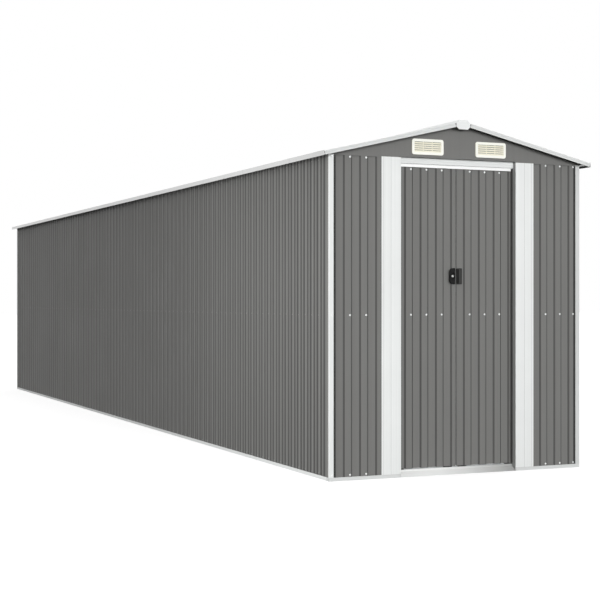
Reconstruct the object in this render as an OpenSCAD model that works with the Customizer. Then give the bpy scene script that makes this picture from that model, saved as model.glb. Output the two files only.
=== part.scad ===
// Long, narrow sheet-metal storage shed with a low gable roof and two sliding doors in one end.
// Millimetres. X runs across the shed, Y along it with the doors at -Y, and Z up from the ground.
// The origin is on the ground, midway along and across.

/* [Overall] */
// Width over the corner trims
wall_w = 1810; // [1700:10:2000]
// Length over the corner trims
wall_l = 9280; // [8400:10:10200]
// Height to the top of the ridge cap
total_h = 2230; // [2225:1:2260]
// Roof overhang beyond the side walls
side_overhang = 55; // [50:1:70]
// Roof overhang beyond the end walls
end_overhang = 50; // [40:1:70]

/* [Sheets] */
// Thickness of every ribbed or flat sheet
sheet_t = 1; // [0.8:0.1:1.2]
// Sheets along each side wall and each roof slope
sheet_count = 11; // [8:1:12]
// Ribs on one sheet of the side walls and roof
ribs_per_sheet = 8; // [7:1:9]
// Extra ribs shared by the side wall's two end sheets
wall_end_ribs = 2; // [2:2:2]
// Pitch of the ribs on the end walls and doors
end_rib_pitch = 109.6; // [100:0.1:115]
// Flat top of a wall or door rib
rib_crest = 42; // [38:1:46]
// Width of a rib's sloping side
rib_slope = 10; // [6:0.5:12]
// Height of a wall or door rib
rib_h = 7; // [5:0.5:8]
// Height of a roof rib
roof_rib_h = 12.5; // [10:0.5:14]
// Gap between neighbouring sheets
sheet_gap = 0.5; // [0.3:0.1:1]
// Rise of the wall sheets' upper edge above the eave line
sheet_rise = 6; // [0:1:7]
// Drop of the gable sheets' lower edge below the eave line
gable_drop = 0; // [0:1:15]

/* [Rails] */
// Width of the base rail's foot
base_foot = 40; // [30:1:42]
// Height of the base rail's outer lip
base_lip = 22; // [18:1:28]
// Height of the base rail's inner upright
base_upright = 60; // [45:1:62]
// Thickness of folded rails and trims
rail_t = 2; // [1.5:0.1:2]
// Depth of the mid and top rails
rail_depth = 26; // [20:1:26]
// Height of the mid and top rails
rail_h = 40; // [30:1:40]
// Height of the mid rails' middle line
mid_rail_z = 1007; // [950:1:1050]
// Leg of a corner trim
trim_leg = 30; // [26:1:34]
// Rise of the corner trims above the eave line
trim_rise = 4; // [-2:1:5]
// Drop of the side top rails below the eave line
top_rail_drop = 30; // [20:1:40]

/* [Roof] */
// Height of the ridge cap's top above the roof sheets' underside
ridge_stand = 25; // [23:1:35]
// Rise of the roof sheets' underside from the eave to the ridge
roof_rise = 225; // [200:1:240]
// Drop of the eave's face below the roof sheets' edge
eave_drop = 10; // [6:1:14]
// Height of the eave's front face
eave_face_h = 30; // [26:1:32]
// Height of the verge trim's face
verge_face_h = 25; // [22:1:28]
// Depth of the crease along the verge trim's face
verge_crease = 1.2; // [0.8:0.1:1.4]
// Width of the verge trim's top flange
verge_flange = 40; // [30:1:50]
// Flat top of the ridge cap
ridge_flat = 55; // [50:1:60]
// Width of the ridge cap at its foot
ridge_w = 100; // [90:1:110]
// Depth of the end cap's face under the ridge
ridge_end_h = 60; // [55:1:65]
// Distance of the purlins from the middle
purlin_x = 450; // [400:10:500]
// Width of the roof beams
beam_w = 40; // [30:1:45]
// Height of the ridge beam
ridge_beam_h = 60; // [50:1:60]
// Height of the purlins
purlin_h = 30; // [25:1:35]

/* [Doorway] */
// Clear width of the doorway
door_clear_w = 830; // [800:1:860]
// Width of a jamb's face
jamb_w = 135; // [120:1:140]
// Depth of the jamb's fold into the doorway
jamb_return = 38; // [30:1:38]
// Depth of the V-shaped grooves in a jamb's face
jamb_groove = 1.2; // [0.8:0.1:1.4]
// Rise of the jambs above the eave line
jamb_rise = 3; // [0:1:4]
// Height of the gable's cut-out over the doorway above the jambs
header_reveal = 5; // [3:1:8]
// Depth of the header's face behind the jambs' faces
header_depth = 28; // [20:1:30]
// Drop of the header's lower edge below the eave line
header_drop = 30; // [26:1:34]
// Depth of the step along the header's face
header_step = 1.3; // [0.8:0.1:1.4]
// Drop of the upper track's lip below the header
track_drop = 20; // [14:1:22]
// Height of the sill's back edge
sill_h = 42; // [38:1:42]
// Height of the upright lip along the sill's back edge
sill_lip = 12; // [8:1:14]
// Top of the lower track's runway
runway_z = 32; // [28:1:32]
// Height of the guide rib on the runway
guide_h = 12; // [8:1:12]

/* [Doors] */
// Depth of the door face behind the corner trims
door_depth = 44; // [43:0.5:46]
// Lower edge of the doors
door_z = 47; // [47:1:50]
// Tuck of the doors up into the upper track
door_tuck = 35; // [25:1:40]
// Lap of each door behind its jamb
door_lap = 32; // [20:1:40]
// Gap between the two doors
door_gap = 5; // [5:0.5:8]
// Width of the bars of the door frame
door_bar = 25; // [20:1:30]
// Depth of the bars of the door frame
door_bar_d = 20; // [15:1:20]
// Middle of the left door's rib beside the meeting edge
left_rib_x = -7.5; // [-15:0.5:-2.5]
// Middle of the right door's first rib
right_rib_x = 86; // [80:0.5:90]
// Lower edge of the handles
handle_z = 1199; // [1100:1:1300]
// Height of the handles
handle_h = 102; // [90:1:120]
// Distance of the handles' front from the corner trims' face
handle_depth = 30; // [26:1:32]
// Distance of the left handle from the doors' meeting line
left_handle_x = 13; // [8:1:16]
// Width of the left handle
left_handle_w = 37; // [34:1:42]
// Corner radius on the left handle's free side
left_handle_r = 26; // [12:1:32]
// Width of the hollow in the left handle
hollow_w = 26; // [22:1:28]
// Height of the hollow
hollow_h = 46; // [40:1:60]
// Depth of the hollow
hollow_depth = 7; // [4:0.5:9]
// Width of the lock in the hollow
lock_w = 15; // [12:1:18]
// Width of the right handle
right_handle_w = 35; // [32:1:40]
// Distance of the grip's middle from the right handle's inner edge
grip_x = 11; // [8:0.5:16]
// Width of the right handle's upright grip
grip_w = 12; // [10:1:16]
// Height of the grip above its plate
grip_h = 12; // [8:1:14]

/* [Vents] */
// Distance of each vent from the middle
vent_x = 227.5; // [180:0.5:300]
// Rise of the vents' middle above the eave line
vent_rise = 74; // [65:1:80]
// Width of a vent
vent_w = 222; // [200:1:240]
// Height of a vent
vent_h = 98; // [90:1:104]
// Width of a vent's frame
vent_rim = 17; // [12:1:20]
// Corner radius of a vent
vent_r = 14; // [12:1:16]
// Thickness of a vent's frame
vent_t = 6; // [5:0.5:8]
// Slats in a vent
vent_slats = 5; // [4:1:6]
// Width of the two uprights that carry the slats
vent_upright = 4; // [3:0.5:6]

/* [Hidden] */
$fn = 48;
// Clearance between pieces that sit against each other
seat = 0.3;
// Clearance where one piece ends beside another
slack = 0.5;
half_w = wall_w / 2;
half_l = wall_l / 2;
eave_x = half_w + side_overhang;
roof_y = half_l + end_overhang;
apex_z = total_h - ridge_stand;
eave_z = apex_z - roof_rise;
sheet_top_z = eave_z + sheet_rise;
gable_z = eave_z - gable_drop;
trim_top_z = eave_z + trim_rise;
jamb_top_z = eave_z + jamb_rise;
reveal_z = jamb_top_z + header_reveal;
header_z = eave_z - header_drop;
track_lip_z = header_z - track_drop;
door_top_z = track_lip_z + door_tuck;
vent_z = eave_z + vent_rise;
pitch = atan((apex_z - eave_z) / eave_x);
// Depths behind the outer face of the corner trims
gable_d = rail_t + seat;
crest_d = gable_d + sheet_t + seat;
valley_d = crest_d + rib_h;
rail_d = valley_d + sheet_t + seat;
inner_d = rail_d + rail_depth;
// Side wall ribs fill the wall between the end walls' skins
wall_end_gap = crest_d + slack;
wall_ribs = sheet_count * ribs_per_sheet + wall_end_ribs;
wall_rib_pitch = (wall_l - 2 * wall_end_gap) / wall_ribs;
roof_sheet_y = roof_y - rail_t - slack;
roof_rib_pitch = 2 * roof_sheet_y / (sheet_count * ribs_per_sheet);
roof_crest = 26;
roof_slope = 16;
roof_skin = sheet_t + roof_rib_h;
sheet_foot_z = rail_t + seat;
// First rib's middle on the front wall's two panels and the back wall
front_left_rib_x = -667.5;
front_right_rib_x = 631;
front_edge_x = half_w - valley_d - sheet_t - slack;
jamb_x = door_clear_w / 2;
front_rail_x = jamb_x + rail_t + slack;
cross_rail_x = half_w - inner_d - slack;
side_rail_y = half_l - base_foot - seat;
track_x = half_w - base_foot - slack;
track_d = door_depth + rail_t;
track_w = 36;
guide_d = track_d + 17;
door_edge_x = jamb_x + door_lap;
door_frame_d = door_depth + rib_h + sheet_t + seat;
door_frame_z = door_z + 5;
door_frame_top_z = door_top_z - 5;
verge_top_n = roof_skin + seat + 1.5;
sheet_grey = "#797977";
trim_white = "#e6e8e7";
galvanised = "#a9adaf";
vent_cream = "#f6f5e8";
handle_black = "#262626";

// Height of the roof sheets' underside at a distance x from the middle
function under(x) = eave_z + (eave_x - x) * tan(pitch);
// Share of full rib height at a distance u from a rib's middle
function rib_share(u, step, crest, slope) =
    let (a = abs(u - step * round(u / step)))
    a <= crest / 2 ? 1 : a >= crest / 2 + slope ? 0 : (crest / 2 + slope - a) / slope;
// Corner points of the ribbed line from x0 to x1, with one rib's middle at rib_x
function rib_line(x0, x1, rib_x, step, crest, slope, height) =
    let (bends = [-crest / 2 - slope, -crest / 2, crest / 2, crest / 2 + slope],
         first = floor((x0 - rib_x) / step) - 1,
         last = ceil((x1 - rib_x) / step) + 1,
         inner = [for (k = [first:last], b = bends)
             let (x = rib_x + k * step + b) if (x > x0 + 0.5 && x < x1 - 0.5) x])
    [for (x = concat([x0], inner, [x1])) [x, -height * rib_share(x - rib_x, step, crest, slope)]];

// A ribbed sheet along X whose ribs stand out towards -Y and run up Z
module ribbed_sheet(x0, x1, rib_x, step, length, crest = rib_crest, slope = rib_slope, height = rib_h) {
    outer = rib_line(x0, x1, rib_x, step, crest, slope, height);
    back = [for (i = [len(outer) - 1:-1:0]) outer[i] + [0, sheet_t]];
    linear_extrude(length) polygon(concat(outer, back));
}

// Sheets side by side, each with its own ribs; the end sheets carry any extra ribs
module sheet_row(step, extra, length, crest, slope, height) {
    ribs = sheet_count * ribs_per_sheet + extra;
    start = -ribs * step / 2;
    for (i = [0:sheet_count - 1]) {
        first = i == 0 ? 0 : i * ribs_per_sheet + extra / 2;
        last = i == sheet_count - 1 ? ribs : (i + 1) * ribs_per_sheet + extra / 2;
        ribbed_sheet(start + first * step + (i == 0 ? 0 : sheet_gap), start + last * step,
            start + step / 2, step, length, crest, slope, height);
    }
}

// Extrusions along X and along Y of a profile drawn as [depth, height] or [across, height]
module along_x(x0, x1) {
    translate([x0, 0, 0]) rotate([90, 0, 90]) linear_extrude(x1 - x0) children();
}
module along_y(y0, y1) {
    translate([0, y1, 0]) rotate([90, 0, 0]) linear_extrude(y1 - y0) children();
}
// Places a piece drawn for one end or side on the front, back, left or right of the shed
module on_front() {
    translate([0, -half_l, 0]) children();
}
module on_back() {
    rotate([0, 0, 180]) on_front() children();
}
module on_left() {
    rotate([0, 0, -90]) translate([0, -half_w, 0]) children();
}
module on_right() {
    rotate([0, 0, 90]) translate([0, -half_w, 0]) children();
}
module mirrored() {
    mirror([1, 0, 0]) children();
}
// Lays a piece drawn along Y on the right roof slope: X runs down the slope and Z is its normal
module on_slope(x) {
    translate([x, 0, under(x)]) rotate([0, pitch, 0]) children();
}
// C-shaped rail along X with its web against the sheet
module wall_rail(x0, x1, z) {
    along_x(x0, x1) translate([rail_d, z - rail_h / 2]) difference() {
        square([rail_depth, rail_h]);
        translate([rail_t, rail_t]) square([rail_depth, rail_h - 2 * rail_t]);
    }
}
// Base rail along X: outer lip, foot, and an inner upright that stops short of the corners
module base_channel(x0, x1, up0, up1) {
    translate([x0, 0, 0]) cube([x1 - x0, base_foot, rail_t]);
    translate([x0, 0, 0]) cube([x1 - x0, rail_t, base_lip]);
    translate([up0, rail_d, 0]) cube([up1 - up0, rail_t, base_upright]);
}
module base_corner() {
    translate([half_w - rail_t, 0, 0]) cube([rail_t, base_foot, base_lip]);
}
module rounded_plate(w, h, r, t) {
    linear_extrude(t) {
        square([w - 2 * r, h], center = true);
        square([w, h - 2 * r], center = true);
        for (x = [-1, 1], z = [-1, 1])
            translate([x * (w / 2 - r), z * (h / 2 - r)]) circle(r);
    }
}

module front_base_rail() {
    upright_x = half_w - rail_d - rail_t - slack;
    color(trim_white) on_front() {
        for (side = [0, 1]) mirror([side, 0, 0]) {
            base_channel(front_rail_x, half_w, front_rail_x, upright_x);
            base_corner();
        }
    }
}
module back_base_rail() {
    upright_x = half_w - rail_d - rail_t - slack;
    color(trim_white) on_back() {
        base_channel(-half_w, half_w, -upright_x, upright_x);
        base_corner();
        mirrored() base_corner();
    }
}
module side_base_rail() {
    base_channel(-side_rail_y, side_rail_y, -side_rail_y, side_rail_y);
}
module left_base_rail() {
    color(trim_white) on_left() side_base_rail();
}
module right_base_rail() {
    color(trim_white) on_right() side_base_rail();
}
// Sloping threshold between the jambs, with an upright lip, a back and a foot beside the track
module door_sill() {
    back = door_depth - rail_t;
    front = back - rail_t;
    ramp = sill_h - sill_lip;
    color(trim_white) on_front() along_x(-jamb_x + seat, jamb_x - seat) polygon([[0, 0], [2 * rail_t, 0],
        [front, ramp - rail_t], [front, 0], [track_d - seat, 0], [track_d - seat, rail_t],
        [back, rail_t], [back, sill_h], [front, sill_h], [front, ramp], [0, rail_t]]);
}
// Hat-shaped runway on the ground with a guide rib for the doors' glides
module lower_track() {
    color(galvanised) on_front() along_x(-track_x, track_x) translate([track_d, 0]) {
        difference() {
            square([track_w, runway_z]);
            translate([rail_t, -1]) square([track_w - 2 * rail_t, runway_z + 1 - rail_t]);
        }
        translate([guide_d - track_d, runway_z - rail_t]) square([rail_t, guide_h + rail_t]);
    }
}
module side_wall() {
    translate([0, valley_d, sheet_foot_z])
        sheet_row(wall_rib_pitch, wall_end_ribs, sheet_top_z - sheet_foot_z, rib_crest, rib_slope, rib_h);
}
module left_wall() {
    color(sheet_grey) on_left() side_wall();
}
module right_wall() {
    color(sheet_grey) on_right() side_wall();
}
module end_sheet(x0, x1, rib_x) {
    translate([0, valley_d, sheet_foot_z])
        ribbed_sheet(x0, x1, rib_x, end_rib_pitch, sheet_top_z - sheet_foot_z);
}
module front_wall_left() {
    color(sheet_grey) on_front() end_sheet(-front_edge_x, -front_rail_x - rail_t, front_left_rib_x);
}
module front_wall_right() {
    color(sheet_grey) on_front() end_sheet(front_rail_x + rail_t, front_edge_x, front_right_rib_x);
}
module back_wall() {
    color(sheet_grey) on_back() {
        end_sheet(-front_edge_x, -sheet_gap / 2, -end_rib_pitch / 2);
        end_sheet(sheet_gap / 2, front_edge_x, end_rib_pitch / 2);
    }
}
// Flat gable in two halves, each with a cut-out behind its vent
module gable_half() {
    outer_x = half_w - rail_t - slack;
    translate([0, gable_d + sheet_t, 0]) rotate([90, 0, 0]) difference() {
        linear_extrude(sheet_t) polygon([[sheet_gap / 2, gable_z], [outer_x, gable_z],
            [outer_x, under(outer_x) - seat], [sheet_gap / 2, under(sheet_gap / 2) - seat]]);
        translate([vent_x, vent_z, -1])
            rounded_plate(vent_w - vent_rim, vent_h - vent_rim, vent_r - vent_rim / 2, sheet_t + 2);
    }
}
module gable() {
    gable_half();
    mirrored() gable_half();
}
module front_gable() {
    color(sheet_grey) on_front() difference() {
        gable();
        translate([-front_rail_x, 0, 0]) cube([2 * front_rail_x, inner_d, reveal_z]);
    }
}
module back_gable() {
    color(sheet_grey) on_back() gable();
}
// Angle over a corner, drawn for the front right one
module corner_trim() {
    foot = base_lip + seat;
    translate([half_w, 0, foot]) linear_extrude(trim_top_z - foot) polygon([[0, 0], [-trim_leg, 0],
        [-trim_leg, rail_t], [-rail_t, rail_t], [-rail_t, trim_leg], [0, trim_leg]]);
}
module front_left_corner_trim() {
    color(trim_white) on_front() mirrored() corner_trim();
}
module front_right_corner_trim() {
    color(trim_white) on_front() corner_trim();
}
module back_left_corner_trim() {
    color(trim_white) on_back() corner_trim();
}
module back_right_corner_trim() {
    color(trim_white) on_back() mirrored() corner_trim();
}
// Right jamb: a face over the wall sheet, creased by two grooves, and a fold into the doorway
module door_jamb() {
    foot = base_lip + seat;
    skin = rail_t - jamb_groove;
    outer_x = jamb_x + jamb_w;
    creases = [outer_x - jamb_w / 2, outer_x - trim_leg / 2];
    front = concat([[jamb_x, 0]], [for (x = creases, side = [-1, 0, 1])
        [x + side * 2 * jamb_groove, side == 0 ? jamb_groove : 0]], [[outer_x, 0]]);
    back = [for (i = [len(front) - 1:-1:0]) front[i] + [0, skin]];
    translate([0, 0, foot]) linear_extrude(jamb_top_z - foot) polygon(concat(front, back));
    translate([jamb_x, 0, foot]) cube([rail_t, jamb_return, jamb_top_z - foot]);
}
module left_door_jamb() {
    color(trim_white) on_front() mirrored() door_jamb();
}
module right_door_jamb() {
    color(trim_white) on_front() door_jamb();
}
// Header set back between the jambs: a stepped face, a fold to the track and one forward to the gable
module door_header() {
    half = jamb_x - seat;
    face = header_depth;
    skin = face + rail_t;
    fold = crest_d;
    mid = (header_z + reveal_z) / 2;
    top = reveal_z + 2 * rail_t;
    color(trim_white) on_front() along_x(-half, half) polygon([[face, header_z], [inner_d, header_z],
        [inner_d, header_z + rail_t], [skin, header_z + rail_t], [skin, top], [fold, top],
        [fold, top - rail_t], [face + header_step, top - rail_t], [face + header_step, mid + header_step],
        [face, mid]]);
}
// Inverted channel over the tops of the doors
module upper_track() {
    width = 46;
    top = sheet_top_z;
    color(trim_white) on_front() along_x(-track_x, track_x) translate([inner_d + seat, 0]) difference() {
        translate([0, track_lip_z]) square([width, top - track_lip_z]);
        translate([rail_t, track_lip_z - 1]) square([width - 2 * rail_t, top - track_lip_z + 1 - rail_t]);
    }
}
// Angle under the roof's edge: a web against the wall sheet and a top flange along the slope
module side_top_rail() {
    outer = half_w - rail_d;
    inner = half_w - inner_d;
    web = outer - rail_t;
    foot = eave_z - top_rail_drop;
    along_y(-half_l + rail_d + slack, half_l - rail_d - slack) polygon([[outer, foot],
        [outer, under(outer) - seat], [inner, under(inner) - seat], [inner, under(inner) - seat - rail_t],
        [web, under(web) - seat - rail_t], [web, foot]]);
}
module left_top_rail() {
    color(galvanised) mirrored() side_top_rail();
}
module right_top_rail() {
    color(galvanised) side_top_rail();
}
// Top rail from x0 to the right corner, just under the upper edge of the end wall's sheets
module end_top_rail(x0) {
    wall_rail(x0, cross_rail_x, sheet_top_z - rail_h / 2 + rail_t);
}
module front_top_rail() {
    color(galvanised) on_front() for (side = [0, 1])
        mirror([side, 0, 0]) end_top_rail(front_rail_x);
}
module back_top_rail() {
    color(galvanised) on_back() end_top_rail(-cross_rail_x);
}
module side_mid_rail() {
    end = half_l - rail_d - slack;
    wall_rail(-end, end, mid_rail_z);
}
module left_mid_rail() {
    color(galvanised) on_left() side_mid_rail();
}
module right_mid_rail() {
    color(galvanised) on_right() side_mid_rail();
}
module front_mid_rails() {
    color(galvanised) on_front() for (side = [0, 1])
        mirror([side, 0, 0]) wall_rail(front_rail_x, cross_rail_x, mid_rail_z);
}
module back_mid_rail() {
    color(galvanised) on_back() wall_rail(-cross_rail_x, cross_rail_x, mid_rail_z);
}
// Right slope's sheets, from just beside the ridge line to just inside the eave's face
module roof_sheets() {
    top_x = 2;
    foot_x = eave_x - 6;
    length = (foot_x - top_x) / cos(pitch);
    on_slope(top_x) translate([0, 0, sheet_t]) rotate([0, 90, 0]) rotate([0, 0, -90])
        sheet_row(roof_rib_pitch, 0, length, roof_crest, roof_slope, roof_rib_h);
}
module roof_left() {
    color(sheet_grey) mirrored() roof_sheets();
}
module roof_right() {
    color(sheet_grey) roof_sheets();
}
function ridge_foot_z() = under(ridge_w / 2 - rail_t) + roof_skin / cos(pitch) + seat;
// Cap over the ridge with a flat top and sloping sides
module ridge_cap() {
    foot = ridge_foot_z();
    outer = [[-ridge_w / 2, foot], [-ridge_flat / 2, total_h],
        [ridge_flat / 2, total_h], [ridge_w / 2, foot]];
    inner = [for (i = [3:-1:0]) outer[i] - [sign(outer[i][0]) * rail_t, i == 0 || i == 3 ? 0 : rail_t]];
    color(trim_white) along_y(-roof_y + rail_t + seat, roof_y - rail_t - seat) polygon(concat(outer, inner));
}
// Trim down one roof edge: a creased face in front of the sheets and a flange over them
module verge() {
    top_x = ridge_w / 2 + 4;
    foot_x = eave_x - 7;
    length = (foot_x - top_x) / cos(pitch);
    mid = verge_face_h / 2;
    on_slope(top_x) translate([0, -roof_y, verge_top_n - verge_face_h]) along_x(0, length)
        polygon([[0, 0], [rail_t, 0], [rail_t, verge_face_h - 1.5], [verge_flange, verge_face_h - 1.5],
            [verge_flange, verge_face_h], [0, verge_face_h], [0, mid + 2 * verge_crease],
            [verge_crease, mid], [0, mid - 2 * verge_crease]]);
}
// Six-sided plate that closes the ridge cap's end
module ridge_end() {
    foot = ridge_foot_z();
    low = total_h - ridge_end_h;
    color(trim_white) along_y(-roof_y, -roof_y + rail_t) polygon([[-ridge_flat / 2, total_h],
        [-ridge_w / 2, foot], [-ridge_w / 2, low + 16], [-ridge_w / 2 + 18, low], [ridge_w / 2 - 18, low],
        [ridge_w / 2, low + 16], [ridge_w / 2, foot], [ridge_flat / 2, total_h]]);
}
module end_roof_trim() {
    color(trim_white) {
        verge();
        mirrored() verge();
    }
    ridge_end();
}
module front_verge_trim() {
    end_roof_trim();
}
module back_verge_trim() {
    rotate([0, 0, 180]) end_roof_trim();
}
// Face along the eave with a shelf under the sheets' ends
module eave_trim() {
    face = eave_x;
    back = face - rail_t;
    shelf = face - base_foot;
    foot = eave_z - eave_drop;
    color(trim_white) along_y(-roof_sheet_y, roof_sheet_y) polygon([[face, foot], [face, foot + eave_face_h],
        [back, foot + eave_face_h], [back, under(back) - seat], [shelf, under(shelf) - seat],
        [shelf, under(shelf) - seat - rail_t], [back, under(back) - seat - rail_t], [back, foot]]);
}
module left_eave_trim() {
    mirrored() eave_trim();
}
module right_eave_trim() {
    eave_trim();
}
// Open-bottomed beam under a slope
module purlin() {
    x0 = purlin_x - beam_w / 2;
    x1 = purlin_x + beam_w / 2;
    end = half_l - gable_d - sheet_t - seat;
    foot0 = under(x0) - purlin_h;
    foot1 = under(x1) - purlin_h;
    along_y(-end, end) polygon([[x0, under(x0) - seat], [x1, under(x1) - seat], [x1, foot1],
        [x1 - rail_t, foot1], [x1 - rail_t, under(x1) - 2 * rail_t],
        [x0 + rail_t, under(x0) - 2 * rail_t], [x0 + rail_t, foot0], [x0, foot0]]);
}
module roof_beams() {
    end = half_l - gable_d - sheet_t - seat;
    top = under(beam_w / 2) - seat;
    color(galvanised) {
        along_y(-end, end) translate([-beam_w / 2, top - ridge_beam_h]) difference() {
            square([beam_w, ridge_beam_h]);
            translate([rail_t, -1]) square([beam_w - 2 * rail_t, ridge_beam_h + 1 - rail_t]);
        }
        purlin();
        mirrored() purlin();
    }
}
// Louvred vent, drawn flat with its face towards +Z
module vent() {
    window_w = vent_w - 2 * vent_rim;
    window_h = vent_h - 2 * vent_rim;
    slat_step = window_h / vent_slats;
    difference() {
        rounded_plate(vent_w, vent_h, vent_r, vent_t);
        translate([-window_w / 2, -window_h / 2, -1]) cube([window_w, window_h, vent_t + 2]);
    }
    for (i = [0:vent_slats - 1])
        translate([-window_w / 2 - 1, -window_h / 2 + i * slat_step, 0]) rotate([90, 0, 90])
            linear_extrude(window_w + 2) polygon([[0, vent_t - 1.5], [1.5, vent_t - 1.5],
                [slat_step * 0.8, 1.5], [slat_step * 0.8, 0.5], [slat_step * 0.8 - 1, 0.5], [0, vent_t - 3]]);
    for (x = [-window_w / 6, window_w / 6])
        translate([x - vent_upright / 2, -window_h / 2 - 1, 1])
            cube([vent_upright, window_h + 2, vent_t - 3]);
}
module vent_pair() {
    for (side = [-1, 1])
        translate([side * vent_x, gable_d - seat, vent_z]) rotate([90, 0, 0]) vent();
}
module front_vents() {
    color(vent_cream) on_front() vent_pair();
}
module back_vents() {
    color(vent_cream) on_back() vent_pair();
}

module door_panel(x0, x1, rib_x) {
    color(sheet_grey) on_front() translate([0, door_depth + rib_h, door_z])
        ribbed_sheet(x0, x1, rib_x, end_rib_pitch, door_top_z - door_z);
}
// Frame of bars behind a door's sheet, with a mid bar at the mid rails' height
module door_frame(x0, x1) {
    color(galvanised) on_front() translate([0, door_frame_d, 0]) {
        for (x = [x0, x1 - door_bar])
            translate([x, 0, door_frame_z]) cube([door_bar, door_bar_d, door_frame_top_z - door_frame_z]);
        for (z = [door_frame_z, mid_rail_z - rail_h / 2, door_frame_top_z - rail_h])
            translate([x0, 0, z]) cube([x1 - x0, door_bar_d, rail_h]);
    }
}
// Two shoes under a door that straddle the guide rib
module door_glides(x0, x1) {
    shoe = 60;
    shoe_d = 18;
    slot = 5;
    foot = runway_z + seat;
    color(handle_black) on_front() for (x = [x0 + 20, x1 - shoe - 20])
        translate([x, guide_d + rail_t / 2 - shoe_d / 2, foot]) difference() {
            cube([shoe, shoe_d, door_frame_z - seat - foot]);
            translate([-1, (shoe_d - slot) / 2, -1]) cube([shoe + 2, slot, guide_h + 3]);
        }
}
module left_door_panel() {
    door_panel(-door_edge_x, -door_gap / 2, left_rib_x);
}
module left_door_frame() {
    door_frame(-door_edge_x, -door_gap / 2);
}
module left_door_glides() {
    door_glides(-door_edge_x, -door_gap / 2);
}
// Plate rounded on its free side, seated on the rib beside the meeting edge, with a lock in a long hollow
module left_door_handle() {
    base_d = door_depth - seat;
    thick = base_d - handle_depth;
    floor_n = thick - hollow_depth;
    r = left_handle_r;
    color(handle_black) on_front() translate([-left_handle_x, base_d, handle_z]) rotate([90, 0, 0]) {
        difference() {
            linear_extrude(thick) difference() {
                union() {
                    translate([-left_handle_w + r, 0]) square([left_handle_w - r, handle_h]);
                    translate([-left_handle_w, r]) square([r, handle_h - 2 * r]);
                    for (z = [r, handle_h - r])
                        translate([-left_handle_w + r, z]) circle(r);
                }
                translate([0, -1]) square([2 * r, handle_h + 2]);
            }
            translate([-left_handle_w / 2, handle_h / 2, floor_n])
                rounded_plate(hollow_w, hollow_h, hollow_w / 2 - 1, hollow_depth + 1);
        }
        translate([-left_handle_w / 2, handle_h / 2, floor_n - 1]) cylinder(h = hollow_depth - 1, d = lock_w);
    }
}
module right_door_panel() {
    door_panel(door_gap / 2, door_edge_x, right_rib_x);
}
module right_door_frame() {
    door_frame(door_gap / 2, door_edge_x);
}
module right_door_glides() {
    door_glides(door_gap / 2, door_edge_x);
}
// Plate in the valley beside the meeting edge, clear of the cut rib there, with an upright grip
module right_door_handle() {
    rib_foot = right_rib_x - end_rib_pitch + rib_crest / 2 + rib_slope;
    edge = max(door_gap / 2, rib_foot) + slack;
    thick = door_depth + rib_h - seat - handle_depth;
    seat_d = door_depth + rib_h - seat;
    color(handle_black) on_front()
        translate([edge, seat_d, handle_z + handle_h / 2]) rotate([90, 0, 0]) {
            translate([right_handle_w / 2, 0, 0]) rounded_plate(right_handle_w, handle_h, 6, thick - grip_h);
            translate([grip_x, 0, 0]) rounded_plate(grip_w, handle_h - 10, 4, thick);
        }
}

front_base_rail();
back_base_rail();
left_base_rail();
right_base_rail();
door_sill();
lower_track();
left_wall();
right_wall();
back_wall();
front_wall_left();
front_wall_right();
front_gable();
back_gable();
front_left_corner_trim();
front_right_corner_trim();
back_left_corner_trim();
back_right_corner_trim();
left_door_jamb();
right_door_jamb();
door_header();
upper_track();
left_top_rail();
right_top_rail();
front_top_rail();
back_top_rail();
left_mid_rail();
right_mid_rail();
front_mid_rails();
back_mid_rail();
roof_left();
roof_right();
ridge_cap();
front_verge_trim();
back_verge_trim();
left_eave_trim();
right_eave_trim();
roof_beams();
front_vents();
back_vents();
left_door_panel();
left_door_frame();
left_door_glides();
left_door_handle();
right_door_panel();
right_door_frame();
right_door_glides();
right_door_handle();
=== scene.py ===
import math
import random

import bpy
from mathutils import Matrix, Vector


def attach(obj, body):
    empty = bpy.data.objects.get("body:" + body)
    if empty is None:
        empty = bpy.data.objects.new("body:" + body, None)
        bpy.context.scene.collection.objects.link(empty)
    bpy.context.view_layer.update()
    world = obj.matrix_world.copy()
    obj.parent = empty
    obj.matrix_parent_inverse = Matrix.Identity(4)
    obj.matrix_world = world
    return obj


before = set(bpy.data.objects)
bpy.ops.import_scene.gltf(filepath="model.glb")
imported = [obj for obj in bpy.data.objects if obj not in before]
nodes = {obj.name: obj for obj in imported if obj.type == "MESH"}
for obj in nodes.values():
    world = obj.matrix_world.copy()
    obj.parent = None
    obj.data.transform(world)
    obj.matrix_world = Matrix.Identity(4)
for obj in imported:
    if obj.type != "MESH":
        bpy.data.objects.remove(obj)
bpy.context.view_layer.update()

# The shed's own measures from the part's source, in millimetres. X runs across, Y along, Z up.
# A depth is counted inwards from the outer face of the corner trims.
MM = 0.001
HALF_W = 905.0
HALF_L = 4640.0
CREST_DEPTH = 3.6
WALL_RIBS = 90
WALL_END_GAP = 4.1
WALL_PITCH = 2 * (HALF_L - WALL_END_GAP) / WALL_RIBS
ROOF_RIBS = 88
ROOF_SHEET_Y = 4687.5
ROOF_PITCH = 2 * ROOF_SHEET_Y / ROOF_RIBS
ROOF_SKIN = 13.5
ROOF_RISE = 225.0
EAVE_X = 960.0
EAVE_Z = 1980.0
RIDGE_HALF = 51.0
END_RIB_PITCH = 109.6
BACK_RIBS = 16
FRONT_LEFT_RIB_X = -667.5
FRONT_RIGHT_RIB_X = 631.0
LEFT_DOOR_RIB_X = -7.5
RIGHT_DOOR_RIB_X = 86.0
DOOR_DEPTH = 44.0
MID_RAIL_Z = 1007.0
VENT_X = 227.5
VENT_Z = 2054.0
VENT_FACE_DEPTH = -4.0

scene = bpy.context.scene
scene.view_settings.view_transform = "Standard"


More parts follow.
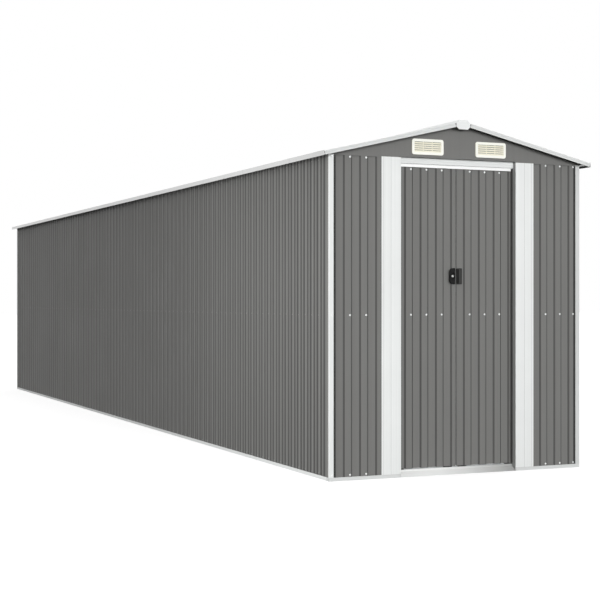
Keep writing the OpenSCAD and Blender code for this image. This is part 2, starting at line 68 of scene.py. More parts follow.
def linear(hex_code):
    """An sRGB hex colour as linear RGBA."""
    parts = [int(hex_code[i:i + 2], 16) / 255 for i in (1, 3, 5)]
    return [c / 12.92 if c < 0.04045 else ((c + 0.055) / 1.055) ** 2.4 for c in parts] + [1.0]


def per_metre(size_mm):
    """Texture scale of a pattern whose features are size_mm across."""
    return 1000.0 / size_mm


def add(tree, kind, values=None, links=None, **settings):
    """Adds one shader node with its settings, its input values and its links."""
    node = tree.nodes.new("ShaderNode" + kind)
    for name, value in settings.items():
        setattr(node, name, value)
    for socket, value in (values or {}).items():
        node.inputs[socket].default_value = value
    for socket, source in (links or {}).items():
        tree.links.new(source, node.inputs[socket])
    return node


def start_finish(name, **shader):
    """A new material, its tree, its shader with the constants set, and the piece's own coordinates."""
    finish = bpy.data.materials.new(name)
    finish.use_nodes = True
    tree = finish.node_tree
    tree.nodes.clear()
    bsdf = add(tree, "BsdfPrincipled", {k.replace("_", " "): v for k, v in shader.items()})
    add(tree, "OutputMaterial", links={"Surface": bsdf.outputs[0]})
    return finish, tree, bsdf, add(tree, "TexCoord")


def join_finish(tree, bsdf, colour, gloss, relief):
    """Links a finish's colour, roughness and relief to its shader."""
    for socket, source in (("Base Color", colour), ("Roughness", gloss), ("Normal", relief)):
        tree.links.new(source.outputs[0], bsdf.inputs[socket])


# Noise hardly leaves this range, so tones and gloss are spread over it
NOISE_SPAN = {"From Min": 0.3, "From Max": 0.7}
# The colour sockets of a Mix node, which share their names with its number sockets
MIX_A, MIX_B, MIX_RESULT = 6, 7, 2

# Coil coat: zinc-coated steel strip painted on a line before it is roll-formed. A baked polyester top
# coat outside, satin and even, with a faint orange peel, streaks along the rolls and slow waves in the
# flats; a thin epoxy back coat on the side that faces into the shed.
# "fold" is a painted shade on the sides of the ribs and "rib_shadow" a painted shadow on the strip
# behind each rib of a long wall, each at the front end and from the middle on. "shade_ramp" is an axis, and
# a place and tone on it where a painted shade starts and stops, as along the sill and towards the front end
# of the eave. "crown" is the tone of the ridge's end plate beside its trims. "wrap" is how far a corner's
# white reaches round the edge before the wall's grey takes over.
EVEN = (1.0, 1.0)
PLAIN = {"back": "#8b8c8a", "rough": 0.45, "shine": 0.2, "fold": EVEN, "rib_shadow": EVEN, "shade_ramp": None,
         "crown": 1.0, "wrap": 0.0}
GREY = {**PLAIN, "top": "#757573", "back": "#b4b5b1", "rough": 0.55}
COATS = {
    "grey": {**GREY, "fold": (0.45, 0.45)},
    # The long walls: painted shade on the rib sides and a painted shadow behind each rib
    "grey_side": {**GREY, "fold": (0.44, 0.76), "rib_shadow": (0.28, 0.38)},
    "white": {**PLAIN, "top": "#eaeceb"},
    # The jambs: painted shade in their grooves
    "white_jamb": {**PLAIN, "top": "#ebedec", "back": "#b0b1af", "fold": (0.72, 0.72)},
    "white_corner": {**PLAIN, "top": "#eaeceb", "back": "#7b7b79", "wrap": 12.0},
    # The front right corner trim: the same white painted darker, as shade
    "shaded_white_corner": {**PLAIN, "top": "#d2d4d3", "back": "#7b7b79", "wrap": 12.0},
    # The upper track: the same white painted lighter, as a highlight
    "lit_white_track": {**PLAIN, "top": "#fafbfa", "rough": 0.3, "shine": 0.75},
    # Front and back base rails and the verge trims: the same white painted darker, as shade
    "shaded_white_rail": {**PLAIN, "top": "#d8dad9"},
    "shaded_white_verge": {**PLAIN, "top": "#d8dad9", "crown": 1.2},
    # The sill: painted shade, darker towards its right end
    "white_sill": {**PLAIN, "top": "#e4e5e4", "shade_ramp": ("X", -120.0, 1.0, 370.0, 0.50)},
    # The eave trims: the same white painted lighter as light, with a painted shade towards the front end
    "lit_white_eave": {**PLAIN, "top": "#fafbfa", "rough": 0.12, "shine": 1.0,
                   "shade_ramp": ("Y", -HALF_L, 0.56, -400.0, 1.0)},
}
# A face shows its top coat while the share of its normal along outward is above this
TOP_COAT_FROM = -0.02
# Painted shade on the sides of the ribs: full up to the first share of the normal along outward, none from
# the second
SLOPE_SHADE_FROM = 0.84
SLOPE_SHADE_TO = 0.96
# The painted shadow behind a rib: its middle, as a share of the rib pitch from the front end, and its half
# widths
RIB_SHADOW_AT = 0.79
RIB_SHADOW_HALF_MM = (15.0, 27.0)
# The ridge's end plate blends into its trims over this width
CROWN_EDGE_MM = 2.0
# Streaks along the rolls and slow clouds: their sizes and how far each drifts from the middle tone
STREAK_MM = 9.0
STREAK_LENGTH_MM = 1600.0
STREAK_DRIFT = 0.025
CLOUD_MM = 480.0
CLOUD_DRIFT = 0.03
GLOSS_DRIFT = 0.05
# Real orange peel is 2 to 3 mm across; drawn at 10 mm so that it shows
PEEL_MM = 10.0
PEEL_DEPTH_MM = 0.03
WAVE_MM = 260.0
WAVE_DEPTH_MM = 0.8
# Trims come in lengths that meet butt to butt. The joint is a hairline; drawn 4 mm wide so that it shows
TRIM_LENGTH_MM = 830.0
JOINT_MM = 4.0
JOINT_TONE = 0.55


def coil_coat(coat, side, outward, run, joints):
    """Coil coat whose top coat is on the faces turned to outward, with its roll streaks along run."""
    recipe = COATS[coat]
    name = coat + "_coil_coat_" + side
    finish, tree, bsdf, coords = start_finish(name, Specular_IOR_Level=recipe["shine"])
    place = coords.outputs["Object"]
    split = add(tree, "SeparateXYZ", links={0: place})
    faces_out = add(tree, "VectorMath", {1: outward}, {0: coords.outputs["Normal"]},
                    operation="DOT_PRODUCT")
    top_side = add(tree, "Math", {1: TOP_COAT_FROM}, {0: faces_out.outputs["Value"]},
                   operation="GREATER_THAN")
    if recipe["wrap"]:
        along = add(tree, "Math", links={0: split.outputs["Y"]}, operation="ABSOLUTE")
        edge = add(tree, "Math", {1: (HALF_L - recipe["wrap"]) * MM}, {0: along.outputs[0]},
                   operation="GREATER_THAN")
        top_side = add(tree, "Math", links={0: top_side.outputs[0], 1: edge.outputs[0]},
                       operation="MAXIMUM")
    paint = add(tree, "Mix", {MIX_A: linear(recipe["back"]), MIX_B: linear(recipe["top"])},
                {0: top_side.outputs[0]}, data_type="RGBA")

    squeeze = [per_metre(STREAK_LENGTH_MM if axis == run else STREAK_MM) for axis in "XYZ"]
    rolled = add(tree, "VectorMath", {1: squeeze}, {0: place}, operation="MULTIPLY")
    streak = add(tree, "TexNoise", {"Scale": 1.0, "Detail": 2.0}, {"Vector": rolled.outputs[0]})
    cloud = add(tree, "TexNoise", {"Scale": per_metre(CLOUD_MM), "Detail": 3.0}, {"Vector": place})
    tones = [add(tree, "MapRange", {**NOISE_SPAN, "To Min": 1 - drift, "To Max": 1 + drift},
                 {0: source.outputs[0]})
             for source, drift in ((streak, STREAK_DRIFT), (cloud, CLOUD_DRIFT))]
    front_half = {"From Min": -HALF_L * MM, "From Max": 0.0}
    # Painted shade on the sides of the ribs, its tone set at the front end and from the middle on
    if recipe["fold"] != EVEN:
        near, far = recipe["fold"]
        facing = add(tree, "Math", links={0: faces_out.outputs["Value"]}, operation="ABSOLUTE")
        shade_tone = add(tree, "MapRange", {**front_half, "To Min": near, "To Max": far}, {0: split.outputs["Y"]})
        tones.append(add(tree, "MapRange", {"From Min": SLOPE_SHADE_FROM, "From Max": SLOPE_SHADE_TO, "To Max": 1.0},
                         {0: facing.outputs[0], "To Min": shade_tone.outputs[0]}))
    # Painted shadow on the strip behind each rib of a long wall
    if recipe["rib_shadow"] != EVEN:
        near, far = recipe["rib_shadow"]
        full, gone = (width * MM for width in RIB_SHADOW_HALF_MM)
        first_rib_shadow = (-HALF_L + WALL_END_GAP + RIB_SHADOW_AT * WALL_PITCH) * MM
        past = add(tree, "Math", {1: first_rib_shadow}, {0: split.outputs["Y"]}, operation="SUBTRACT")
        off = add(tree, "Math", {1: WALL_PITCH * MM / 2}, {0: past.outputs[0]}, operation="PINGPONG")
        shade_tone = add(tree, "MapRange", {**front_half, "To Min": near, "To Max": far}, {0: split.outputs["Y"]})
        tones.append(add(tree, "MapRange", {"From Min": full, "From Max": gone, "To Max": 1.0},
                         {0: off.outputs[0], "To Min": shade_tone.outputs[0]}))
    # Painted shade that ramps along an axis between two places
    if recipe["shade_ramp"]:
        axis, start, start_tone, stop, stop_tone = recipe["shade_ramp"]
        stretch = {"From Min": start * MM, "From Max": stop * MM}
        tones.append(add(tree, "MapRange", {**stretch, "To Min": start_tone, "To Max": stop_tone},
                         {0: split.outputs[axis]}))
    if recipe["crown"] > 1.0:
        aside = add(tree, "Math", links={0: split.outputs["X"]}, operation="ABSOLUTE")
        plate_edge = {"From Min": RIDGE_HALF * MM, "From Max": (RIDGE_HALF + CROWN_EDGE_MM) * MM}
        tones.append(add(tree, "MapRange", {**plate_edge, "To Min": recipe["crown"], "To Max": 1.0},
                         {0: aside.outputs[0]}))
    if joints:
        saw = add(tree, "Math", {1: TRIM_LENGTH_MM * MM / 2}, {0: split.outputs[run]},
                  operation="PINGPONG")
        joint = {"From Min": 0.0, "From Max": JOINT_MM * MM / 2}
        tones.append(add(tree, "MapRange", {**joint, "To Min": JOINT_TONE, "To Max": 1.0},
                         {0: saw.outputs[0]}))
    tone = tones[0]
    for other in tones[1:]:
        tone = add(tree, "Math", links={0: tone.outputs[0], 1: other.outputs[0]}, operation="MULTIPLY")
    colour = add(tree, "VectorMath", links={0: paint.outputs[MIX_RESULT], "Scale": tone.outputs[0]},
                 operation="SCALE")

    low, high = recipe["rough"] - GLOSS_DRIFT, recipe["rough"] + GLOSS_DRIFT
    gloss = add(tree, "MapRange", {**NOISE_SPAN, "To Min": low, "To Max": high}, {0: cloud.outputs[0]})
    peel = add(tree, "TexNoise", {"Scale": per_metre(PEEL_MM), "Detail": 1.0}, {"Vector": place})
    wave = add(tree, "TexNoise", {"Scale": per_metre(WAVE_MM), "Detail": 1.0}, {"Vector": place})
    waves = add(tree, "Bump", {"Strength": 1.0, "Distance": WAVE_DEPTH_MM * MM},
                {"Height": wave.outputs[0]})
    skin = add(tree, "Bump", {"Strength": 1.0, "Distance": PEEL_DEPTH_MM * MM},
               {"Height": peel.outputs[0], "Normal": waves.outputs[0]})
    join_finish(tree, bsdf, colour, gloss, skin)
    return finish


ZINC_COLOUR = "#a4a8aa"
SPANGLE_MM = 14.0
SPANGLE_TONE = {"To Min": 0.82, "To Max": 1.06}
SPANGLE_ROUGH = {"To Min": 0.36, "To Max": 0.56}
SPANGLE_DEPTH_MM = 0.05


def galvanised():
    """Hot-dip galvanised steel: bare zinc, cool grey, its crystal spangles catching the light unevenly."""
    finish, tree, bsdf, coords = start_finish("galvanised_steel", Metallic=0.85)
    place = coords.outputs["Object"]
    crystal = add(tree, "TexVoronoi", {"Scale": per_metre(SPANGLE_MM)}, {"Vector": place})
    shade = add(tree, "SeparateColor", links={0: crystal.outputs["Color"]})
    tone = add(tree, "MapRange", SPANGLE_TONE, {0: shade.outputs[0]})
    colour = add(tree, "VectorMath", {0: linear(ZINC_COLOUR)[:3]}, {"Scale": tone.outputs[0]},
                 operation="SCALE")
    gloss = add(tree, "MapRange", SPANGLE_ROUGH, {0: shade.outputs[1]})
    relief = add(tree, "Bump", {"Strength": 0.5, "Distance": SPANGLE_DEPTH_MM * MM},
                 {"Height": shade.outputs[2]})
    join_finish(tree, bsdf, colour, gloss, relief)
    return finish


PLASTIC_IOR = 1.53
MOULD_CLOUD_MM = 35.0
MOULD_GLOSS_DRIFT = 0.06


# Real mould grain is under 0.5 mm across; each finish draws it at 1 to 3 mm so that it shows
def moulded(name, hex_code, rough, grain_mm, depth_mm, drift, shine=0.5):
    """Moulded plastic: one colour that drifts a little, with the fine grain of the mould."""
    finish, tree, bsdf, coords = start_finish(name, IOR=PLASTIC_IOR, Specular_IOR_Level=shine)
    place = coords.outputs["Object"]
    cloud = add(tree, "TexNoise", {"Scale": per_metre(MOULD_CLOUD_MM), "Detail": 3.0}, {"Vector": place})
    tone = add(tree, "MapRange", {**NOISE_SPAN, "To Min": 1 - drift, "To Max": 1 + drift},
               {0: cloud.outputs[0]})
    colour = add(tree, "VectorMath", {0: linear(hex_code)[:3]}, {"Scale": tone.outputs[0]},
                 operation="SCALE")
    grain = add(tree, "TexNoise", {"Scale": per_metre(grain_mm), "Detail": 2.0}, {"Vector": place})
    low, high = rough - MOULD_GLOSS_DRIFT, rough + MOULD_GLOSS_DRIFT
    gloss = add(tree, "MapRange", {**NOISE_SPAN, "To Min": low, "To Max": high}, {0: grain.outputs[0]})
    relief = add(tree, "Bump", {"Strength": 1.0, "Distance": depth_mm * MM}, {"Height": grain.outputs[0]})
    join_finish(tree, bsdf, colour, gloss, relief)
    return finish


PLATE_CLOUD_MM = 20.0
PLATE_TONE = {"To Min": 0.9, "To Max": 1.08}
PLATE_GLOSS_DRIFT = (-0.05, 0.08)
# Real turning marks are 0.1 to 0.2 mm apart; drawn at 1 mm so that they show
TURNING_MM = 1.0
TURNING_DEPTH_MM = 0.02


def plated(name, hex_code, rough):
    """Plated metal: bright, a little clouded, with fine turning marks."""
    finish, tree, bsdf, coords = start_finish(name, Metallic=1.0)
    place = coords.outputs["Object"]
    cloud = add(tree, "TexNoise", {"Scale": per_metre(PLATE_CLOUD_MM), "Detail": 3.0}, {"Vector": place})
    tone = add(tree, "MapRange", {**NOISE_SPAN, **PLATE_TONE}, {0: cloud.outputs[0]})
    colour = add(tree, "VectorMath", {0: linear(hex_code)[:3]}, {"Scale": tone.outputs[0]},
                 operation="SCALE")
    low, high = (rough + change for change in PLATE_GLOSS_DRIFT)
    gloss = add(tree, "MapRange", {**NOISE_SPAN, "To Min": low, "To Max": high}, {0: cloud.outputs[0]})
    marks = add(tree, "TexNoise", {"Scale": per_metre(TURNING_MM), "Detail": 1.0}, {"Vector": place})
    relief = add(tree, "Bump", {"Strength": 1.0, "Distance": TURNING_DEPTH_MM * MM},
                 {"Height": marks.outputs[0]})
    join_finish(tree, bsdf, colour, gloss, relief)
    return finish


# How far behind a vent's face the bleaching starts and is full
BLEACH_MM = (1.2, 0.5)


def bleach_face(finish, hex_code):
    """Lightens a vent's frame, the outermost faces at each end, as the sun does."""
    tree = finish.node_tree
    bsdf = next(node for node in tree.nodes if node.type == "BSDF_PRINCIPLED")
    cream = bsdf.inputs["Base Color"].links[0].from_socket
    split = add(tree, "SeparateXYZ", links={0: add(tree, "TexCoord").outputs["Object"]})
    along = add(tree, "Math", links={0: split.outputs["Y"]}, operation="ABSOLUTE")
    starts, full = ((HALF_L - VENT_FACE_DEPTH - behind) * MM for behind in BLEACH_MM)
    bleached = add(tree, "MapRange", {"From Min": starts, "From Max": full}, {0: along.outputs[0]})
    colour = add(tree, "Mix", {MIX_B: linear(hex_code)}, {0: bleached.outputs[0], MIX_A: cream},
                 data_type="RGBA")
    tree.links.new(colour.outputs[MIX_RESULT], bsdf.inputs["Base Color"])


zinc = galvanised()
# ABS: cream for the vents, near-black for handles and glides, a worn grey-black for the grip
cream_abs = moulded("cream_abs", "#f2efdc", rough=0.42, grain_mm=3.0, depth_mm=0.02, drift=0.02)
black_abs = moulded("black_abs", "#181818", rough=0.55, grain_mm=2.0, depth_mm=0.06, drift=0.12,
                    shine=0.08)
worn_abs = moulded("worn_black_abs", "#2c2c2b", rough=0.55, grain_mm=2.0, depth_mm=0.06, drift=0.12,
                   shine=0.2)
bleach_face(cream_abs, "#fcfcf3")
# Polyamide: the slightly waxy white or grey of screw washers
white_nylon = moulded("white_nylon", "#efefec", rough=0.45, grain_mm=1.5, depth_mm=0.02, drift=0.02)
grey_nylon = moulded("grey_nylon", "#7b7b79", rough=0.55, grain_mm=1.5, depth_mm=0.02, drift=0.02)
# Stove-enamelled screw heads: a smooth grey skin, matched to the sheets
grey_head = moulded("grey_enamel", "#858583", rough=0.40, grain_mm=2.5, depth_mm=0.01, drift=0.02)
# Dark grey and quite without shine: strips put in as shade along the joints
shade_strip_finish = moulded("dark_shade_strip", "#40403f", rough=0.80, grain_mm=1.5, depth_mm=0.10, drift=0.10,
                      shine=0.1)
# Zinc-plated steel: bright, cool screw heads
zinc_plate = plated("zinc_plated_steel", "#cfd2d4", rough=0.30)
# Nickel-plated brass, gone dull: a pale disc in the black handle
lock_plate = plated("nickel_plated_brass", "#8f908e", rough=0.40)
# PVC-coated glass yarn: dull, almost black
screen_yarn = moulded("glass_yarn_screen", "#2c2d2c", rough=0.70, grain_mm=1.0, depth_mm=0.05, drift=0.10)

# Each coat and its side, the way the top coat is turned, the way the rolls ran, whether the trim is
# butt-jointed, and the nodes that carry it
FINISHES = [
    ("grey", "front", (0, -1, 0), "Z", False,
     ["front_wall_left", "front_wall_right", "front_gable", "left_door_panel", "right_door_panel"]),
    ("grey", "back", (0, 1, 0), "Z", False, ["back_wall", "back_gable"]),
    ("grey_side", "left", (-1, 0, 0), "Z", False, ["left_wall"]),
    ("grey_side", "right", (1, 0, 0), "Z", False, ["right_wall"]),
    ("grey", "roof", (0, 0, 1), "X", False, ["roof_left", "roof_right"]),
    ("white", "front", (0, -1, 0.2), "X", False, ["door_header"]),
    ("lit_white_track", "front", (0, -1, 0.2), "X", False, ["upper_track"]),
    ("white_sill", "front", (0, -1, 0.2), "X", False, ["door_sill"]),
    ("shaded_white_rail", "front", (0, -1, 0.2), "X", False, ["front_base_rail"]),
    ("shaded_white_rail", "back", (0, 1, 0.2), "X", False, ["back_base_rail"]),
    ("white", "left", (-1, 0, 0.2), "Y", True, ["left_base_rail"]),
    ("white", "right", (1, 0, 0.2), "Y", True, ["right_base_rail"]),
    ("lit_white_eave", "left", (-1, 0, 0.2), "Y", True, ["left_eave_trim"]),
    ("lit_white_eave", "right", (1, 0, 0.2), "Y", True, ["right_eave_trim"]),
    ("white_jamb", "left", (-0.1, -1, 0), "Z", False, ["left_door_jamb"]),
    ("white_jamb", "right", (0.1, -1, 0), "Z", False, ["right_door_jamb"]),
    ("white_corner", "front_left", (0.1, -1, 0), "Z", False, ["front_left_corner_trim"]),
    ("shaded_white_corner", "front_right", (-0.1, -1, 0), "Z", False, ["front_right_corner_trim"]),
    ("white_corner", "back_left", (0.1, 1, 0), "Z", False, ["back_left_corner_trim"]),
    ("white_corner", "back_right", (-0.1, 1, 0), "Z", False, ["back_right_corner_trim"]),
    ("white", "ridge", (0, 0, 1), "Y", True, ["ridge_cap"]),
    ("shaded_white_verge", "front", (0, -1, 1), "X", False, ["front_verge_trim"]),
    ("shaded_white_verge", "back", (0, 1, 1), "X", False, ["back_verge_trim"]),
]
finish_of = {"front_vents": cream_abs, "back_vents": cream_abs, "left_door_glides": black_abs,
             "right_door_glides": black_abs, "left_door_handle": black_abs, "right_door_handle": worn_abs}
for coat, side, outward, run, joints, names in FINISHES:
    finish_of.update(dict.fromkeys(names, coil_coat(coat, side, outward, run, joints)))
for name, piece in nodes.items():
    for material_slot in piece.material_slots:
        material_slot.material = finish_of.get(name, zinc)


def new_piece(name, points, faces, finishes, body, finish_index=None):
    """A mesh piece that rides on a body; points are in metres."""
    mesh = bpy.data.meshes.new(name)
    mesh.from_pydata(points, [], faces)
    for finish in finishes:
        mesh.materials.append(finish)
    if finish_index:
        mesh.polygons.foreach_set("material_index", finish_index)
    mesh.update()
    piece = bpy.data.objects.new(name, mesh)
    scene.collection.objects.link(piece)
    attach(piece, body)


# Pan-head sheet screw on a domed washer, as (radius, height) in millimetres; the last two rings are the
# cross recess, where every third corner is an arm
SCREW_SIDES = 12
WASHER_RINGS = [(6.2, -0.1), (6.2, 0.8), (5.4, 1.4), (4.2, 1.6)]
HEAD_RINGS = [(3.9, 1.6), (3.9, 2.5), (3.4, 3.2), (2.4, 3.5)]
RECESS_ARM = 2.1
RECESS_CORE = 0.8
RECESS_DEPTH = 1.2
# Washer and head: bright on the ends and doors, grey on the long walls and the roof
BRIGHT_SCREW = [white_nylon, zinc_plate]
GREY_SCREW = [grey_nylon, grey_head]


def screw_rings():
    """Every ring of one screw, as lists of (radius, height) corner by corner."""
    rings = [[ring] * SCREW_SIDES for ring in WASHER_RINGS + HEAD_RINGS]
    for height in (HEAD_RINGS[-1][1], HEAD_RINGS[-1][1] - RECESS_DEPTH):
        rings.append([(RECESS_ARM if i % 3 == 0 else RECESS_CORE, height) for i in range(SCREW_SIDES)])
    return rings


def add_screws(name, spots, outward, body, finishes):
    """Screws with washers on a sheet, each turned at random; spots are on its face, in millimetres."""
    turns = random.Random(name)
    out = Vector(outward).normalized()
    across = out.orthogonal().normalized()
    up = out.cross(across)
    rings = screw_rings()
    points, faces, finish_index = [], [], []
    for spot in spots:
        start = len(points)
        turn = turns.uniform(0.0, math.tau)
        for ring in rings:
            for i, (radius, height) in enumerate(ring):
                angle = turn + math.tau * i / SCREW_SIDES
                side = across * math.cos(angle) + up * math.sin(angle)
                points.append((Vector(spot) + side * radius + out * height) * MM)
        faces.append([start + i for i in reversed(range(SCREW_SIDES))])
        finish_index.append(0)
        for level in range(len(rings) - 1):
            low = start + level * SCREW_SIDES
            for i in range(SCREW_SIDES):
                j = (i + 1) % SCREW_SIDES
                faces.append([low + i, low + j, low + SCREW_SIDES + j, low + SCREW_SIDES + i])
                finish_index.append(0 if level < len(WASHER_RINGS) else 1)
        last = start + (len(rings) - 1) * SCREW_SIDES
        faces.append([last + i for i in range(SCREW_SIDES)])
        finish_index.append(1)
    new_piece(name, points, faces, finishes, body, finish_index)


# Rows of screws: one in every rib at the base rail, the mid rail and the top rail
WALL_ROWS = [34.0, MID_RAIL_Z, 1961.0]
END_ROWS = [34.0, MID_RAIL_Z, 1972.0]
DOOR_ROWS = [MID_RAIL_Z, 1917.0]
TO_FRONT = (0, -1, 0)
TO_BACK = (0, 1, 0)
crest_x = HALF_W - CREST_DEPTH
crest_y = HALF_L - CREST_DEPTH
wall_rib_y = [-HALF_L + WALL_END_GAP + (k + 0.5) * WALL_PITCH for k in range(WALL_RIBS)]
for side, sign in (("left", -1), ("right", 1)):
    spots = [(sign * crest_x, y, z) for y in wall_rib_y[1:-1] for z in WALL_ROWS]
    add_screws(side + "_wall_screws", spots, (sign, 0, 0), "shed", GREY_SCREW)
# On the front the screws sit towards the right edge of each rib, but for the half rib at the right corner
SCREW_OFFSET = 14.0
EDGE_SCREW_X = 859.0
CORNER_SCREW_X = 883.0
front_rib_x = [FRONT_LEFT_RIB_X - END_RIB_PITCH, FRONT_LEFT_RIB_X,
               FRONT_RIGHT_RIB_X, FRONT_RIGHT_RIB_X + END_RIB_PITCH]
front_screw_x = [x + SCREW_OFFSET for x in front_rib_x] + [EDGE_SCREW_X]
front_spots = [(x, -crest_y, z) for x in front_screw_x for z in END_ROWS]
add_screws("front_wall_screws", front_spots, TO_FRONT, "shed", BRIGHT_SCREW)
corner_spots = [(-CORNER_SCREW_X, -HALF_L, z) for z in END_ROWS]
add_screws("corner_trim_screws", corner_spots, TO_FRONT, "shed", BRIGHT_SCREW)
back_rib_x = [END_RIB_PITCH * (k + 0.5 - BACK_RIBS / 2) for k in range(BACK_RIBS)]
back_spots = [(x, crest_y, z) for x in back_rib_x for z in END_ROWS]
add_screws("back_wall_screws", back_spots, TO_BACK, "shed", BRIGHT_SCREW)
door_y = -HALF_L + DOOR_DEPTH
for door, rib_x, steps in (("left_door", LEFT_DOOR_RIB_X, (-1, -2, -3)),
                           ("right_door", RIGHT_DOOR_RIB_X, (0, 1, 2))):
    door_screw_x = [rib_x + SCREW_OFFSET + END_RIB_PITCH * k for k in steps]
    door_spots = [(x, door_y, z) for x in door_screw_x for z in DOOR_ROWS]
    add_screws(door + "_screws", door_spots, TO_FRONT, door, BRIGHT_SCREW)

# Roof screws sit in the rib crests over the ridge beam's edge, the purlins and the wall rails
ROOF_ROWS = [90.0, 450.0, 880.0]
pitch = math.atan(ROOF_RISE / EAVE_X)
roof_rib_y = [-ROOF_SHEET_Y + (k + 0.5) * ROOF_PITCH for k in range(ROOF_RIBS)]
for side, sign in (("left", -1), ("right", 1)):
    normal = Vector((sign * math.sin(pitch), 0, math.cos(pitch)))
    spots = []
    for row in ROOF_ROWS:
        foot = Vector((sign * row, 0, EAVE_Z + (EAVE_X - row) * math.tan(pitch)))
        spots += [foot + normal * ROOF_SKIN + Vector((0, y, 0)) for y in roof_rib_y[1:-1]]
    add_screws(side + "_roof_screws", spots, normal, "shed", GREY_SCREW)

# Insect screen behind each vent: yarns laid across one another behind the gable's cut-out
SCREEN_W = 216.0
SCREEN_H = 92.0
SCREEN_DEPTH = 3.5
YARN_STEP = 5.0
YARN_T = 0.9
YARN_FACES = [(0, 1, 2, 3), (7, 6, 5, 4), (0, 4, 5, 1), (1, 5, 6, 2), (2, 6, 7, 3), (3, 7, 4, 0)]


def add_screen(name, end):
    """The two screens of one end; end is -1 at the front and 1 at the back."""
    points, faces = [], []
    for vent_x in (-VENT_X, VENT_X):
        yarns = []
        for k in range(int(SCREEN_W / YARN_STEP) + 1):
            yarns.append((vent_x - SCREEN_W / 2 + k * YARN_STEP, VENT_Z, YARN_T, SCREEN_H, YARN_T))
        for k in range(int(SCREEN_H / YARN_STEP) + 1):
            yarns.append((vent_x, VENT_Z - SCREEN_H / 2 + k * YARN_STEP, SCREEN_W, YARN_T, 0.0))
        for x, z, w, h, back in yarns:
            start = len(points)
            near = SCREEN_DEPTH + back
            for depth in (near, near + YARN_T):
                y = end * (HALF_L - depth)
                points += [((x + a * w / 2) * MM, y * MM, (z + b * h / 2) * MM)
                           for a, b in ((-1, -1), (1, -1), (1, 1), (-1, 1))]
            faces += [[start + i for i in (face if end < 0 else face[::-1])] for face in YARN_FACES]
    new_piece(name, points, faces, [screen_yarn], "shed")


add_screen("front_vent_screens", -1)
add_screen("back_vent_screens", 1)

# Lock face on the boss in the left handle's hollow, with an upright keyway; rings are (radius, height)
LOCK_X = -31.5
LOCK_Z = 1250.0
LOCK_DEPTH = 32.0
LOCK_SIDES = 32
LOCK_RINGS = [(7.3, -0.1), (7.3, 0.8), (6.7, 1.3), (5.8, 1.3), (5.5, 1.0), (5.2, 1.0)]
KEYWAY_HALF_W = 0.9
KEYWAY_HALF_H = 3.6
KEYWAY_DEPTH = 1.0
NEARLY_ZERO = 1e-6


def add_lock():
    """A turned lock face: a rim, a shallow step and a keyway sunk in its middle."""
    points, faces = [], []
    turns = [math.tau * i / LOCK_SIDES for i in range(LOCK_SIDES)]
    rings = [[(radius * math.cos(t), radius * math.sin(t), height) for t in turns]
             for radius, height in LOCK_RINGS]
    face_h = LOCK_RINGS[-1][1]
    for height in (face_h, face_h - KEYWAY_DEPTH):
        keyway = []
        for t in turns:
            c, s = math.cos(t), math.sin(t)
            reach = min(KEYWAY_HALF_W / max(abs(c), NEARLY_ZERO), KEYWAY_HALF_H / max(abs(s), NEARLY_ZERO))
            keyway.append((c * reach, s * reach, height))
        rings.append(keyway)
    for ring in rings:
        points += [((LOCK_X + a) * MM, (-HALF_L + LOCK_DEPTH - h) * MM, (LOCK_Z + b) * MM)
                   for a, b, h in ring]
    faces.append(list(reversed(range(LOCK_SIDES))))
    for level in range(len(rings) - 1):
        low = level * LOCK_SIDES
        for i in range(LOCK_SIDES):
            j = (i + 1) % LOCK_SIDES
            faces.append([low + i, low + j, low + LOCK_SIDES + j, low + LOCK_SIDES + i])
    faces.append([len(points) - LOCK_SIDES + i for i in range(LOCK_SIDES)])
    new_piece("left_handle_lock", points, faces, [lock_plate], "left_door")


add_lock()

# Dark strips put in as shade along the joints at the corner trims and the jambs: their X, depth and Z
# ranges
SHADE_STRIPS = {
    "corner": ((860.0, 875.5), (1.9, 3.4), (24.0, 1977.0)),
    "jamb": ((402.0, 415.3), (36.4, 38.0), (52.0, 1946.0)),
}
SHADE_STRIP_ROUND = 0.4


def add_shade_strips(name, joint, ends):
    """The dark shade strips of one kind of joint on both sides of the given ends, their edges rounded off.
    """
    points, faces = [], []
    (x0, x1), (d0, d1), (z0, z1) = SHADE_STRIPS[joint]
    r = SHADE_STRIP_ROUND
    outline = [(x0 + r, d0), (x1 - r, d0), (x1, d0 + r), (x1, d1 - r),
               (x1 - r, d1), (x0 + r, d1), (x0, d1 - r), (x0, d0 + r)]
    count = len(outline)
    skin = [list(reversed(range(count))), [count + i for i in range(count)]]
    skin += [[i, (i + 1) % count, count + (i + 1) % count, count + i] for i in range(count)]
    for end in ends:
        for side in (-1, 1):
            start = len(points)
            points += [(side * x * MM, end * (HALF_L - d) * MM, z * MM)
                       for z in (z0, z1) for x, d in outline]
            faces += [[start + i for i in (face if side * end < 0 else face[::-1])] for face in skin]
    new_piece(name, points, faces, [shade_strip_finish], "shed")


add_shade_strips("corner_shade_strips", "corner", (-1, 1))
add_shade_strips("jamb_shade_strips", "jamb", (-1,))

# Studio: white all round for the eye and for reflections, softer for the light that falls on the shed
SKY_LIGHT = 0.40
FLOOR_GLOW = 0.80
FLOOR_COLOUR = 0.32
FLOOR_HALF_M = 90.0
# Just under the base rails, so that the floor and their feet don't share a plane
FLOOR_Z_M = -0.0005


def seen_by_eye(tree):
    """1 for rays from the camera or a reflection, 0 for the light that falls on the shed."""
    ray = add(tree, "LightPath").outputs
    shine = add(tree, "Math", links={0: ray["Is Glossy Ray"], 1: ray["Is Transmission Ray"]},
                operation="MAXIMUM")
    return add(tree, "Math", links={0: ray["Is Camera Ray"], 1: shine.outputs[0]}, operation="MAXIMUM")


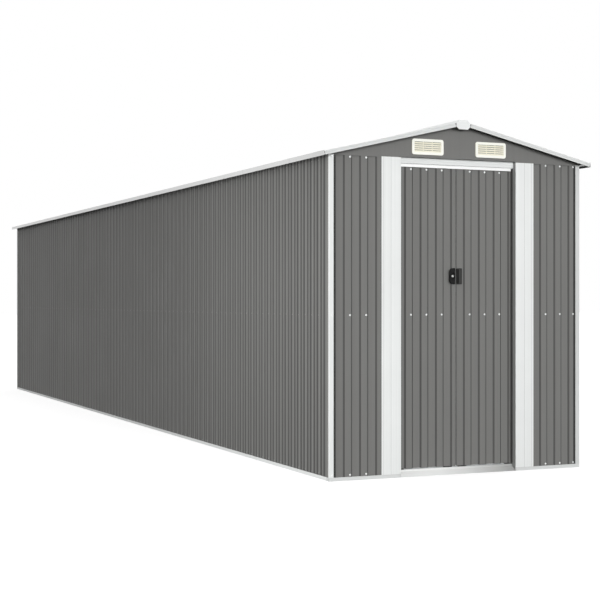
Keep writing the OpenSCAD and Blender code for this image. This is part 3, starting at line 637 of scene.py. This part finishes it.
world = bpy.data.worlds.new("white_studio")
scene.world = world
world.use_nodes = True
sky = world.node_tree
sky.nodes.clear()
sky_strength = add(sky, "MapRange", {"To Min": SKY_LIGHT, "To Max": 1.0}, {0: seen_by_eye(sky).outputs[0]})
backdrop = add(sky, "Background", {"Color": linear("#ffffff")}, {"Strength": sky_strength.outputs[0]})
add(sky, "OutputWorld", links={"Surface": backdrop.outputs[0]})

floor_mesh = bpy.data.meshes.new("studio_floor")
floor_corners = [(a * FLOOR_HALF_M, b * FLOOR_HALF_M, FLOOR_Z_M)
                 for a, b in ((-1, -1), (1, -1), (1, 1), (-1, 1))]
floor_mesh.from_pydata(floor_corners, [], [(0, 1, 2, 3)])
floor = bpy.data.objects.new("studio_floor", floor_mesh)
scene.collection.objects.link(floor)
# Pale floor: it keeps the shed's shadow, and glows just enough to meet the white backdrop
floor_paint = bpy.data.materials.new("white_floor_paint")
floor_paint.use_nodes = True
floor_tree = floor_paint.node_tree
floor_tree.nodes.clear()
eye = seen_by_eye(floor_tree)
glow_level = add(floor_tree, "Math", {1: FLOOR_GLOW}, {0: eye.outputs[0]}, operation="MULTIPLY")
paint_level = add(floor_tree, "Math", {1: FLOOR_COLOUR}, {0: eye.outputs[0]}, operation="MULTIPLY")
glow = add(floor_tree, "Emission", links={"Strength": glow_level.outputs[0]})
matt = add(floor_tree, "BsdfDiffuse", links={"Color": paint_level.outputs[0]})
both = add(floor_tree, "AddShader", links={0: glow.outputs[0], 1: matt.outputs[0]})
add(floor_tree, "OutputMaterial", links={"Surface": both.outputs[0]})
floor_mesh.materials.append(floor_paint)

# Soft lamps so far away that their light is even all over the shed: name, strength, width in degrees and
# where the light comes from
SUNS = [
    ("key_light", 1.40, 25.0, (-0.47, -0.87, 0.10)),
    ("fill_light", 1.56, 25.0, (0.22, -0.97, 0.10)),
    ("top_light", 1.1, 40.0, (0.0, 0.0, 1.0)),
    ("back_light", 2.2, 40.0, (0.80, 0.60, 0.15)),
]
for name, strength, width_deg, comes_from in SUNS:
    lamp = bpy.data.lights.new(name, "SUN")
    lamp.energy = strength
    lamp.angle = math.radians(width_deg)
    sun = bpy.data.objects.new(name, lamp)
    sun.rotation_euler = Vector(comes_from).to_track_quat("Z", "Y").to_euler()
    scene.collection.objects.link(sun)

# Softbox beside the front corner, so that the long wall dims towards its far end
SOFTBOX_WATTS = 60.0
SOFTBOX_AT = (-3.6, -4.4, 1.4)
SOFTBOX_FROM = (-0.98, 0.0, 0.15)
SOFTBOX_SIZE = (2.5, 2.0)
box_lamp = bpy.data.lights.new("near_softbox", "AREA")
box_lamp.shape = "RECTANGLE"
box_lamp.size, box_lamp.size_y = SOFTBOX_SIZE
box_lamp.energy = SOFTBOX_WATTS
softbox = bpy.data.objects.new("near_softbox", box_lamp)
softbox.location = SOFTBOX_AT
softbox.rotation_euler = Vector(SOFTBOX_FROM).to_track_quat("Z", "Y").to_euler()
softbox.visible_camera = False
scene.collection.objects.link(softbox)

# Camera in front of the left corner, level, at chest height
CAMERA_AT = (-4.293, -12.048, 1.099)
CAMERA_TURN_DEG = -23.34
CAMERA_LENS = 80.80
CAMERA_SENSOR = 36.0
CAMERA_REACH_M = 300.0
camera_data = bpy.data.cameras.new("photo_view")
camera_data.lens = CAMERA_LENS
camera_data.sensor_width = CAMERA_SENSOR
camera_data.clip_end = CAMERA_REACH_M
camera = bpy.data.objects.new("photo_view", camera_data)
camera.location = CAMERA_AT
camera.rotation_euler = (math.radians(90.0), 0.0, math.radians(CAMERA_TURN_DEG))
scene.collection.objects.link(camera)
scene.camera = camera
